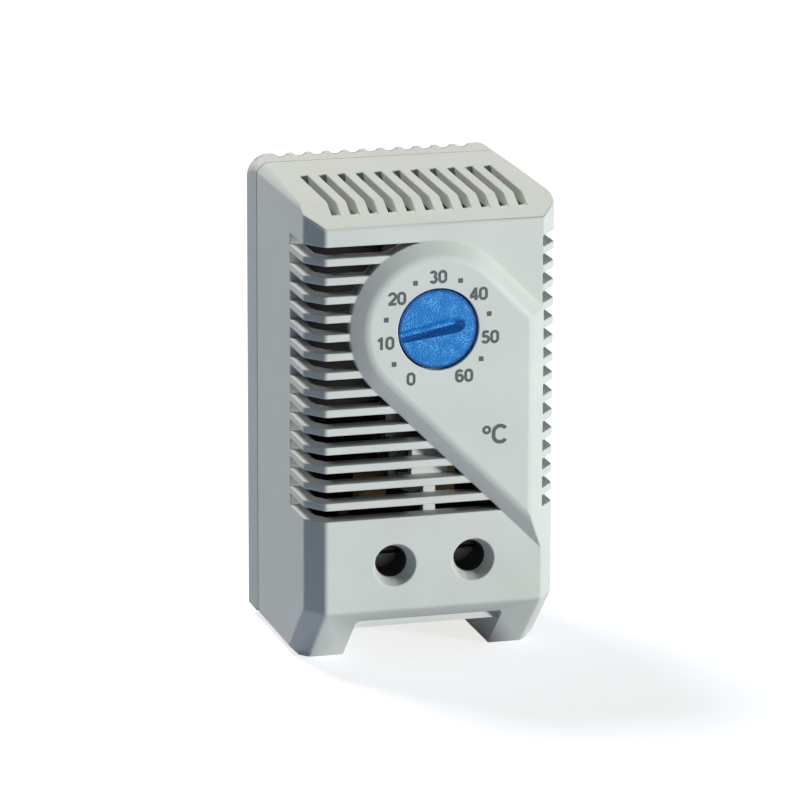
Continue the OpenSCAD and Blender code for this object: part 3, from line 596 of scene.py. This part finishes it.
@dataclass
class SoftenedPiece:
    """A merged copy of a CAD node, with the small edge radii of the real piece.

    Edges below the shortest length stay sharp, except in front of shortest_from. Inside corners are rounded
    only where inside is true.
    """

    node: str
    name: str
    body: Body
    slot: Slot
    finish: bpy.types.Material
    radius: float = 0.15 * MM
    segments: int = 2
    shortest: float = 0.1 * MM
    shortest_from: float = -1.0
    inside: bool = True
    sharp_angle: float = math.radians(24)
    weld: float = 0.002 * MM
    flat_angle: float = math.radians(2.6)
    crease_angle: float = math.radians(50)

    def merged(self, source: bpy.types.Mesh) -> bmesh.types.BMesh:
        """Joins the node's loose triangles and melts those that lie in one plane.

        Args:
            source: The node's mesh.

        Returns:
            The closed shape.
        """
        bm = bmesh.new()
        bm.from_mesh(source)
        bmesh.ops.remove_doubles(bm, verts=bm.verts, dist=self.weld)
        bmesh.ops.dissolve_degenerate(bm, dist=self.weld, edges=bm.edges)
        bmesh.ops.dissolve_limit(bm, angle_limit=self.flat_angle, verts=bm.verts, edges=bm.edges)
        return bm

    def sharp_edges(self, bm: bmesh.types.BMesh) -> list[bmesh.types.BMEdge]:
        """Lists the edges that are sharp, with or without the inside corners."""
        return [
            e for e in bm.edges
            if e.calc_face_angle(0.0) > self.sharp_angle
            and (self.inside or e.is_convex)
            and (e.calc_length() >= self.shortest or e.verts[0].co.y < self.shortest_from)
        ]

    def passes(self) -> list[tuple[EdgeChoice, float]]:
        """Gives the roundings in their order: which edges, and by what radius."""
        return [(self.sharp_edges, self.radius)]

    def round_off(self, bm: bmesh.types.BMesh, edges: list[bmesh.types.BMEdge], radius: float) -> None:
        """Rounds edges and puts back corners that were thrown off the shape.

        Args:
            bm: The shape.
            edges: Its edges to round.
            radius: The radius.
        """
        before = BVHTree.FromBMesh(bm)
        bmesh.ops.bevel(
            bm, geom=edges, offset=radius, offset_type="OFFSET", affect="EDGES", segments=self.segments,
            profile=0.5, material=-1, clamp_overlap=False, loop_slide=True,
        )
        for corner in bm.verts:
            nearest, _, _, distance = before.find_nearest(corner.co)
            if distance > radius:
                corner.co = nearest

    def soften(self, bm: bmesh.types.BMesh) -> None:
        """Rounds the sharp edges of a merged shape."""
        for choose, radius in self.passes():
            self.round_off(bm, choose(bm), radius)
        bmesh.ops.remove_doubles(bm, verts=bm.verts, dist=self.weld)
        for face in bm.faces:
            face.smooth = True

    def build(self, frame: dict[str, Any]) -> bpy.types.Object:
        """Makes the piece.


        Returns:
            The piece, riding on its body in place of its node.
        """
        bm = self.merged(frame["nodes"][self.node].data)
        self.soften(bm)
        piece = new_piece(self.name, bm, self.finish)
        piece.data.set_sharp_from_angle(angle=self.crease_angle)
        even = piece.modifiers.new("even_faces", "WEIGHTED_NORMAL")
        even.keep_sharp = True
        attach(piece, self.body.value)
        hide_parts(self.node)
        return report(piece)


@dataclass
class Housing(SoftenedPiece):
    """The housing: its dial plate and its outer edges are rounder than the rest."""

    plate_radius: float = 0.6 * MM
    outer_radius: float = 0.35 * MM
    outer_end: float = -12 * MM
    outer_top: float = 58.7 * MM
    same_plane: float = 0.01 * MM
    hole_reach: float = 6 * MM
    foot_x: tuple[float, float] = (8.9 * MM, 9.7 * MM)
    foot_y: tuple[float, float] = (-17.3 * MM, -10.0 * MM)
    foot_top: float = 6.5 * MM

    def inside_foot(self, corner: Vector) -> bool:
        """Tells whether a corner lies at the front of a foot's inner side, beside the arch's step."""
        left, right = self.foot_x
        front, back = self.foot_y
        return left < abs(corner.x) < right and front < corner.y < back and corner.z < self.foot_top

    def sharp_edges(self, bm: bmesh.types.BMesh) -> list[bmesh.types.BMEdge]:
        """Lists the sharp edges, without those inside the feet, where roundings would cross."""
        edges = super().sharp_edges(bm)
        return [e for e in edges if not all(self.inside_foot(v.co) for v in e.verts)]

    def plate_edges(self, bm: bmesh.types.BMesh) -> list[bmesh.types.BMEdge]:
        """Lists the edges round the face of the dial plate, without the hole's.

        Args:
            bm: The merged shape.

        Returns:
            The edges.
        """
        face_y = min(v.co.y for v in bm.verts) + self.same_plane
        dial_low, dial_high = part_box("setting_dial")
        dial = (dial_low + dial_high) / 2
        return [
            e for e in self.sharp_edges(bm)
            if all(v.co.y < face_y and (v.co - dial).xz.length > self.hole_reach for v in e.verts)
        ]

    def outer_edges(self, bm: bmesh.types.BMesh) -> list[bmesh.types.BMEdge]:
        """Lists the sharp front edges that stand out: no corner of the piece reaches further out.

        Args:
            bm: The merged shape.

        Returns:
            The edges.
        """
        corners = [v.co.copy() for v in bm.verts]
        outer = []
        for edge in self.sharp_edges(bm):
            outwards = (edge.link_faces[0].normal + edge.link_faces[1].normal).normalized()
            middle = (edge.verts[0].co + edge.verts[1].co) / 2
            limit = middle.dot(outwards) + self.radius
            in_front = middle.y < self.outer_end and middle.z < self.outer_top
            if in_front and all(corner.dot(outwards) < limit for corner in corners):
                outer.append(edge)
        return outer

    def passes(self) -> list[tuple[EdgeChoice, float]]:
        """Rounds the plate and the outer edges before the rest."""
        first = [(self.plate_edges, self.plate_radius), (self.outer_edges, self.outer_radius)]
        return first + super().passes()


@dataclass(frozen=True)
class Stroke:
    """One pen stroke of a glyph, in glyph heights.

    Each move is a length and a turn in degrees: without a turn a straight line of that length, and with one
    an arc of that radius, to the left where the turn is positive.
    """

    x: float
    y: float
    heading: float
    moves: tuple[tuple[float, float], ...]
    width: float = 0.225


GLYPHS: dict[str, tuple[Stroke, ...]] = {
    "0": (Stroke(0.578, 0.33, 90, ((0.34, 0), (0.248, 180), (0.34, 0), (0.248, 180))),),
    "1": (Stroke(0.40, 0, 90, ((1.0, 0),)), Stroke(0.41, 0.93, 222, ((0.36, 0),))),
    "2": (Stroke(0.086, 0.713, 80, ((0.248, -215), (0.583, 0))), Stroke(0.02, 0.0825, 0, ((0.62, 0),))),
    "3": (Stroke(0.143, 0.774, 75, ((0.194, -250),)), Stroke(0.35, 0.529, -5, ((0.224, -245),))),
    "4": (
        Stroke(0.47, 0, 90, ((1.0, 0),)),
        Stroke(0.01, 0.28, 0, ((0.66, 0),)),
        Stroke(0.06, 0.30, 59.6, ((0.76, 0),)),
    ),
    "5": (
        Stroke(0.173, 0.515, 40, ((0.245, -290),)),
        Stroke(0.155, 0.475, 84, ((0.47, 0),)),
        Stroke(0.14, 0.9175, 0, ((0.45, 0),)),
    ),
    "6": (
        Stroke(0.573, 0.325, 90, ((0.243, 360),)),
        Stroke(0.088, 0.325, 90, ((0.35, 0), (0.243, -150))),
    ),
    "°": (Stroke(0.47, 0.735, 90, ((0.155, 360),), 0.14),),
    "C": (Stroke(0.692, 0.771, 125, ((0.3325, 145), (0.16, 0), (0.3325, 145)), 0.19),),
}


class Pen:
    """A flat nib that is spun round the arcs of a glyph and pushed along its lines."""

    def __init__(
        self, bm: bmesh.types.BMesh, paper: Matrix, arc_step: float = 12.0, lift: float = 0.0015
    ) -> None:
        """Takes up the nib.

        Args:
            bm: The shape that the strokes join.
            paper: Matrix from glyph heights to the row frame.
            arc_step: Degrees of turn for each piece of an arc.
            lift: Height of each stroke of a glyph above the one before, so that none share a face.
        """
        self.bm = bm
        self.paper = paper
        self.arc_step = arc_step
        self.lift = lift

    def draw(self, stroke: Stroke, shift: float, height: float) -> None:
        """Draws one stroke.

        Args:
            stroke: The stroke.
            shift: How far to the right it moves, in glyph heights.
            height: How far it lies above the paper, in glyph heights.
        """
        before = set(self.bm.verts)
        spot, heading = Vector((stroke.x + shift, stroke.y, height)), math.radians(stroke.heading)
        ahead = Vector((math.cos(heading), math.sin(heading), 0))
        left = Vector((-ahead.y, ahead.x, 0))
        ends = [self.bm.verts.new(spot + left * side * stroke.width / 2) for side in (1, -1)]
        nib = [self.bm.edges.new(ends)]
        for length, turn in stroke.moves:
            centre = spot + left * math.copysign(length, turn) if turn else spot
            swept = bmesh.ops.spin(
                self.bm, geom=nib, cent=centre, axis=(0, 0, 1), dvec=(0, 0, 0) if turn else ahead * length,
                angle=math.radians(turn), steps=max(1, round(abs(turn) / self.arc_step)), use_duplicate=False,
            )
            nib = [g for g in swept["geom_last"] if isinstance(g, bmesh.types.BMEdge)]
            turned = Matrix.Rotation(math.radians(turn), 3, "Z")
            spot = centre + turned @ (spot - centre) if turn else spot + ahead * length
            ahead, left = turned @ ahead, turned @ left
        drawn = [v for v in self.bm.verts if v not in before]
        bmesh.ops.transform(self.bm, matrix=self.paper, verts=drawn)

    def write(self, text: str, advance: float) -> None:
        """Writes a word, one glyph after another.

        Args:
            text: The word.
            advance: Distance from glyph to glyph.
        """
        for place, letter in enumerate(text):
            for layer, stroke in enumerate(GLYPHS[letter]):
                self.draw(stroke, place * advance, layer * self.lift)


@dataclass
class PrintedScale:
    """Numbers, half-way marks and the unit, printed on the dial plate."""

    centre: Vector
    ink: bpy.types.Material
    radius: float = 6.85 * MM
    offset: tuple[float, float] = (-0.1 * MM, -0.15 * MM)
    step_deg: float = 50.0
    numbers: tuple[int, ...] = (0, 10, 20, 30, 40, 50, 60)
    digit_h: float = 1.62 * MM
    digit_w: float = 0.66
    advance: float = 0.73
    mark: float = 0.62 * MM
    mark_corner: float = 0.1 * MM
    mark_segments: int = 3
    unit: str = "°C"
    unit_h: float = 2.55 * MM
    unit_advance: float = 0.581
    unit_offset: tuple[float, float] = (5.5 * MM, -15.15 * MM)
    film: float = 0.02 * MM
    sink: float = 0.01 * MM
    weld: float = 0.001 * MM

    def on_plate(self, x: float, z: float) -> Matrix:
        """Gives the matrix that stands a flat drawing upright on the plate.

        Args:
            x: Distance to the right of the dial's centre.
            z: Height above it.

        Returns:
            The matrix.
        """
        spot = self.centre + Vector((x, self.sink, z))
        return Matrix.Translation(spot) @ Matrix.Rotation(math.radians(90), 4, "X")

    def write_number(self, bm: bmesh.types.BMesh, text: str, x: float, z: float) -> None:
        """Writes one number, centred on its place.

        Args:
            bm: The shape that it joins.
            text: The number.
            x: Its place to the right of the dial's centre.
            z: Its place above it.
        """
        width = (len(text) - 1) * self.advance + self.digit_w
        middle = Matrix.Translation(Vector((-width / 2, -0.5, 0)))
        Pen(bm, self.on_plate(x, z) @ Matrix.Scale(self.digit_h, 4) @ middle).write(text, self.advance)

    def thicken(self, bm: bmesh.types.BMesh) -> None:
        """Gives the flat print the thickness of the ink, outwards."""
        bmesh.ops.remove_doubles(bm, verts=bm.verts, dist=self.weld)
        printed = bmesh.ops.extrude_face_region(bm, geom=bm.faces[:])
        raised = [v for v in printed["geom"] if isinstance(v, bmesh.types.BMVert)]
        bmesh.ops.translate(bm, vec=Vector((0, -self.film - self.sink, 0)), verts=raised)
        bmesh.ops.recalc_face_normals(bm, faces=bm.faces)

    def finish_piece(self, name: str, bm: bmesh.types.BMesh) -> bpy.types.Object:
        """Makes one printed piece of a flat shape.

        Args:
            name: Its name.
            bm: The flat shape.

        Returns:
            The piece, riding on the case.
        """
        self.thicken(bm)
        piece = new_piece(name, bm, self.ink)
        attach(piece, Body.CASE.value)
        return report(piece)

    def spot(self, angle_deg: float) -> tuple[float, float]:
        """Gives the place on the scale's circle at an angle, clockwise from the top."""
        angle = math.radians(angle_deg)
        right, up = self.offset
        return right + self.radius * math.sin(angle), up + self.radius * math.cos(angle)

    def first_angle(self) -> float:
        """Gives the angle of the first number; the middle one is at the top."""
        return -self.step_deg * (len(self.numbers) - 1) / 2

    def build(self) -> list[bpy.types.Object]:
        """Makes the numbers, the marks between them and the unit.

        Returns:
            The three pieces.
        """
        words = bmesh.new()
        for i, number in enumerate(self.numbers):
            self.write_number(words, str(number), *self.spot(self.first_angle() + i * self.step_deg))
        marks = bmesh.new()
        for i in range(len(self.numbers) - 1):
            x, z = self.spot(self.first_angle() + (i + 0.5) * self.step_deg)
            square = bmesh.ops.create_grid(
                marks, x_segments=1, y_segments=1, size=self.mark / 2, matrix=self.on_plate(x, z)
            )
            bmesh.ops.bevel(
                marks, geom=square["verts"], offset=self.mark_corner, offset_type="OFFSET", affect="VERTICES",
                segments=self.mark_segments, profile=0.5, material=-1,
            )
        unit = bmesh.new()
        paper = self.on_plate(*self.unit_offset) @ Matrix.Scale(self.unit_h, 4)
        Pen(unit, paper).write(self.unit, self.unit_advance)
        shapes = {"scale_numbers": words, "scale_marks": marks, "scale_unit": unit}
        return [self.finish_piece(name, bm) for name, bm in shapes.items()]


@dataclass
class LatchSpring:
    """Compression spring with closed ends."""

    low: Vector
    high: Vector
    finish: bpy.types.Material
    wire_r: float = 0.2 * MM
    wire_sides: int = 10
    closed_pitch: float = 0.42 * MM
    turns: int = 5
    joint: str = "latch_slide"
    travel: float = 3 * MM
    steps_per_turn: int = 28

    def build(self) -> bpy.types.Object:
        """Winds the spring.

        Returns:
            The piece, standing on the base.
        """
        middle = (self.low + self.high) / 2
        mean_r = (self.high.x - self.low.x) / 2 - self.wire_r
        foot = Vector((middle.x, middle.y, self.low.z + self.wire_r))
        rise = self.high.z - self.low.z - 2 * self.wire_r
        bm = bmesh.new()
        start = Matrix.Translation(foot + Vector((mean_r, 0, 0))) @ Matrix.Rotation(math.radians(90), 4, "X")
        wire = bmesh.ops.create_circle(bm, segments=self.wire_sides, radius=self.wire_r, matrix=start)
        front = list({e for v in wire["verts"] for e in v.link_edges})
        end_turn = (1, self.closed_pitch)
        for turns, climb in (end_turn, (self.turns, rise - 2 * self.closed_pitch), end_turn):
            steps = turns * self.steps_per_turn
            wound = bmesh.ops.spin(
                bm, geom=front, cent=foot, axis=(0, 0, 1), dvec=(0, 0, climb / steps),
                angle=2 * math.pi * turns, steps=steps, use_duplicate=False,
            )
            front = [g for g in wound["geom_last"] if isinstance(g, bmesh.types.BMEdge)]
        bmesh.ops.holes_fill(bm, edges=bm.edges)
        bmesh.ops.recalc_face_normals(bm, faces=bm.faces)
        for face in bm.faces:
            face.smooth = len(face.verts) == 4
        piece = new_piece("coil_spring", bm, self.finish)
        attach(piece, Body.CASE.value)
        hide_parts("latch_spring")
        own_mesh(piece)
        return report(piece)


@dataclass(frozen=True)
class Lamp:
    """A soft box: where it stands as seen from the part, its size, level and colour.

    At level 1 a white surface that faces the lamp shows as white.
    """

    name: str
    azimuth: float
    elevation: float
    distance: float
    size: float
    level: float
    colour: Colour

    def build(self, target: Vector) -> None:
        """Hangs the lamp so that it faces the target."""
        data = bpy.data.lights.new(self.name, "AREA")
        data.shape = "DISK"
        data.size = self.size
        data.energy = self.level * (math.pi * self.distance) ** 2
        data.color = self.colour
        lamp = bpy.data.objects.new(self.name, data)
        towards = direction(self.azimuth, self.elevation)
        lamp.location = target + towards * self.distance
        lamp.rotation_euler = towards.to_track_quat("Z", "Y").to_euler()
        bpy.context.scene.collection.objects.link(lamp)


def direction(azimuth: float, elevation: float) -> Vector:
    """Gives the unit vector towards a viewer.

    Args:
        azimuth: Degrees to the right of the front.
        elevation: Degrees above the horizon.

    Returns:
        The vector.
    """
    a, e = math.radians(azimuth), math.radians(elevation)
    return Vector((math.sin(a) * math.cos(e), -math.cos(a) * math.cos(e), math.sin(e)))


@dataclass
class Studio:
    """White floor, soft light and the camera of the photograph."""

    lamps: tuple[Lamp, ...] = (
        Lamp(
            "key_light", azimuth=42.0, elevation=6.0, distance=1.30, size=0.26, level=1.08,
            colour=(0.98, 1.0, 0.95),
        ),
        Lamp(
            "back_light", azimuth=-152.0, elevation=56.0, distance=1.20, size=0.40, level=0.98,
            colour=(1.0, 0.98, 0.90),
        ),
    )
    ambient: Colour = (0.01, 0.03, 0.055)
    floor_half: float = 2.0
    floor_colour: Colour = (0.365, 0.425, 0.555)
    floor_glow: Colour = (0.78, 0.765, 0.735)
    azimuth: float = -15.76
    elevation: float = 14.55
    roll: float = -0.18
    distance: float = 673.0 * MM
    lens_mm: float = 239.1
    sensor_mm: float = 36.0
    clip: tuple[float, float] = (0.01, 20.0)
    aim: Vector = Vector((-0.922 * MM, -6.28 * MM, 31.704 * MM))

    def seen(self, recipe: Recipe) -> Field:
        """Gives 1 for rays that see the background themselves or in a mirror, and 0 for light."""
        rays = ("Is Camera Ray", "Is Glossy Ray", "Is Transmission Ray")
        camera, glossy, through = (recipe.node("ShaderNodeLightPath", output=name) for name in rays)
        return (camera + glossy + through).step(0.0, 1.0)

    def build_world(self) -> None:
        """Makes the world white to look at and dim as a light."""
        world = bpy.data.worlds.new("studio")
        bpy.context.scene.world = world
        world.use_nodes = True
        recipe = Recipe(world.node_tree)
        colour = recipe.mix(self.seen(recipe), rgba(self.ambient), rgba((1.0, 1.0, 1.0)))
        light = recipe.node("ShaderNodeBackground", sockets={"Color": colour, "Strength": 1.0})
        recipe.node("ShaderNodeOutputWorld", sockets={"Surface": light})

    def build_floor(self) -> None:
        """Lays a floor that looks white and keeps the part's shadow."""
        material, recipe = material_recipe("white_floor")
        glow = recipe.mix(self.seen(recipe), rgba((0.0, 0.0, 0.0)), rgba(self.floor_glow))
        recipe.surface({
            "Base Color": rgba(self.floor_colour),
            "Roughness": 0.9,
            "Specular IOR Level": 0.0,
            "Emission Color": glow,
            "Emission Strength": 1.0,
        })
        bm = bmesh.new()
        bmesh.ops.create_grid(bm, x_segments=1, y_segments=1, size=self.floor_half)
        new_piece("floor", bm, material)

    def build_camera(self) -> None:
        """Sets up the camera."""
        data = bpy.data.cameras.new("camera")
        data.lens = self.lens_mm
        data.sensor_width = self.sensor_mm
        data.clip_start, data.clip_end = self.clip
        camera = bpy.data.objects.new("camera", data)
        towards = direction(self.azimuth, self.elevation)
        camera.location = self.aim + towards * self.distance
        level = towards.to_track_quat("Z", "Y").to_matrix().to_4x4()
        camera.rotation_euler = (level @ Matrix.Rotation(-math.radians(self.roll), 4, "Z")).to_euler()
        bpy.context.scene.collection.objects.link(camera)
        bpy.context.scene.camera = camera

    def build(self) -> None:
        """Builds the whole set."""
        bpy.context.scene.view_settings.view_transform = "Standard"
        self.build_world()
        self.build_floor()
        self.build_camera()
        for lamp in self.lamps:
            lamp.build(self.aim)


class Finishes:
    """The materials of this part, each made once."""

    def __init__(
        self, strip: tuple[Vector, Vector], dial: tuple[Vector, Vector], dusty: tuple[ShadeSpace, ...]
    ) -> None:
        """Makes them all.

        Args:
            strip: The bimetal strip's box.
            dial: The dial's box.
            dusty: The spaces of the case that are darkened by painted shade.
        """
        self.housing = MouldedPlastic("light_grey_housing", (0.60, 0.62, 0.59), dusty).material()
        self.base = MouldedPlastic("light_grey_base", (0.58, 0.60, 0.57), dusty).material()
        self.latch = MouldedPlastic("light_grey_latch", (0.56, 0.58, 0.55), roughness=0.45).material()
        middle, radius = (dial[0] + dial[1]) / 2, (dial[1].x - dial[0].x) / 2
        self.dial = SpeckledPlastic(
            "speckled_blue", colour=(0.005, 0.17, 0.53), bright=(0.12, 0.50, 0.95),
            grime=(0.002, 0.075, 0.31), axle=(middle.x, middle.z), radius=radius,
        ).material()
        self.ink = PrintInk("dark_grey_ink", (0.055, 0.062, 0.07)).material()
        self.steel = SheetMetal("zinc_plated_steel", (0.50, 0.51, 0.53), (0.36, 0.37, 0.38)).material()
        # Near-black steel: painted shade for the pieces deep in the case and for the terminal screws in their
        # guides.
        self.dark_steel = SheetMetal(
            "shade_darkened_steel", (0.17, 0.17, 0.18), (0.10, 0.10, 0.11), roughness=0.4
        ).material()
        # Brass darkened far below its own colour: painted shade, so the bars inside the case look as dark as
        # their shadow.
        self.brass = SheetMetal(
            "shade_darkened_brass", (0.10, 0.07, 0.035), (0.05, 0.036, 0.02), roughness=0.45
        ).material()
        self.bronze = SheetMetal(
            "spring_bronze", (0.36, 0.21, 0.11), (0.22, 0.13, 0.07), roughness=0.35
        ).material()
        self.silver = SheetMetal(
            "contact_silver", (0.70, 0.70, 0.68), (0.42, 0.41, 0.38), roughness=0.25
        ).material()
        meet_y = (strip[0].y + strip[1].y) / 2
        self.bimetal = TwoMetalStrip("bimetal", (0.34, 0.26, 0.18), (0.30, 0.30, 0.31), meet_y).material()
        self.hard_paper = HardPaper("brown_hard_paper", (0.055, 0.032, 0.020)).material()


@dataclass
class SwitchWorks:
    """The pieces inside the case, which keep their CAD shape."""

    finishes: Finishes

    def dressing(self) -> dict[str, bpy.types.Material]:
        """Gives each inner node its material.

        Returns:
            Materials by node name.
        """
        finishes = self.finishes
        insulators = ("screw_tip", "stack_sleeve", "front_insulator", "middle_insulator", "rear_insulator")
        groups = {
            ("dial_clip", "adjusting_screw", "frame_bracket", "stack_screw"): finishes.dark_steel,
            ("left_clamp_cage", "right_clamp_cage"): finishes.steel,
            ("threaded_bush", "bimetal_bar", "leaf_bar"): finishes.brass,
            ("contact_leaf",): finishes.bronze,
            ("bimetal_strip",): finishes.bimetal,
            ("bimetal_contact", "leaf_contact"): finishes.silver,
            insulators: finishes.hard_paper,
        }
        return {node: material for nodes, material in groups.items() for node in nodes}

    def build(self, frame: dict[str, Any]) -> None:
        """Dresses the inner nodes.
        """
        for name, material in self.dressing().items():
            node = frame["nodes"][name]
            node.data.materials.clear()
            node.data.materials.append(material)
            report(node)


@dataclass(frozen=True)
class DustyInside:
    """The spaces of the case that light hardly reaches, where shade is painted into the colour, measured from
    the front face.
    """

    plate_h: float = 1.5 * MM
    wall: float = 1.8 * MM
    room_start: float = 4.6 * MM
    room_end: float = 28.4 * MM
    room_z: tuple[float, float] = (7.0 * MM, 52.0 * MM)
    funnel_d: float = 1.9 * MM
    guide_r: float = 2.05 * MM
    slat_start: float = 1.7 * MM
    slat_soft: float = 1.4 * MM
    slat_share: float = 0.25
    slat_half: float = 12.4 * MM
    slat_z: tuple[float, float] = (20.0 * MM, 53.5 * MM)
    rib_half: float = 3.8 * MM

    def spaces(self) -> tuple[ShadeSpace, ...]:
        """Measures the spaces in the frame.

        Returns:
            The room behind the slats, the two screwdriver guides and the gaps between the slats.
        """
        low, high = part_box("front_housing")
        front = low.y + self.plate_h
        half = high.x - self.wall
        start, end = front + self.room_start, front + self.room_end
        bottom, top = self.room_z
        # Painted shade, nearly black, in the room behind the slats and in the two screwdriver guides.
        spaces: list[ShadeSpace] = [Room((-half, start, bottom), (half, end, top))]
        for side in ("left", "right"):
            screw_low, screw_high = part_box(f"{side}_terminal_screw")
            middle = (screw_low + screw_high) / 2
            spaces.append(Bore(middle.x, middle.z, self.guide_r, front + self.funnel_d, end))
        # Painted shade on the slats, fading in behind the front, where each slat shades the top of the one
        # below.
        bottom, top = self.slat_z
        for left, right in ((-self.slat_half, -self.rib_half), (self.rib_half, self.slat_half)):
            corners = (left, front + self.slat_start, bottom), (right, start, top)
            spaces.append(Room(*corners, share=self.slat_share, soft=self.slat_soft))
        return tuple(spaces)


def main() -> None:
    """Loads the frame, builds and dresses every piece and sets up the studio."""
    logging.basicConfig(level=logging.INFO, format="%(name)s: %(message)s")
    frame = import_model()
    finishes = Finishes(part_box("bimetal_strip"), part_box("setting_dial"), DustyInside().spaces())
    Studio().build()

    Housing("front_housing", "housing", Body.CASE, Slot.HOUSING, finishes.housing).build(frame)
    SoftenedPiece(
        "rear_base", "base", Body.CASE, Slot.BASE, finishes.base, shortest=0.45 * MM, shortest_from=9 * MM
    ).build(frame)
    SoftenedPiece("rail_latch", "latch", Body.LATCH, Slot.BASE, finishes.latch).build(frame)
    SoftenedPiece(
        "setting_dial", "dial", Body.DIAL, Slot.DIAL, finishes.dial, radius=FINE_RADIUS, inside=False
    ).build(frame)
    # The terminal screws take the near-black steel: painted shade, as they sit in the dark of their guides.
    for side, body in (("left", Body.LEFT_SCREW), ("right", Body.RIGHT_SCREW)):
        SoftenedPiece(
            f"{side}_terminal_screw", f"{side}_screw", body, Slot.STEEL, finishes.dark_steel,
            radius=FINE_RADIUS,
        ).build(frame)

    dial_low, dial_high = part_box("setting_dial")
    plate_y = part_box("front_housing")[0].y
    centre = Vector(((dial_low.x + dial_high.x) / 2, plate_y, (dial_low.z + dial_high.z) / 2))
    PrintedScale(centre, finishes.ink).build()
    LatchSpring(*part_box("latch_spring"), finishes.steel).build()
    SwitchWorks(finishes).build(frame)


if __name__ == "__main__":
    main()
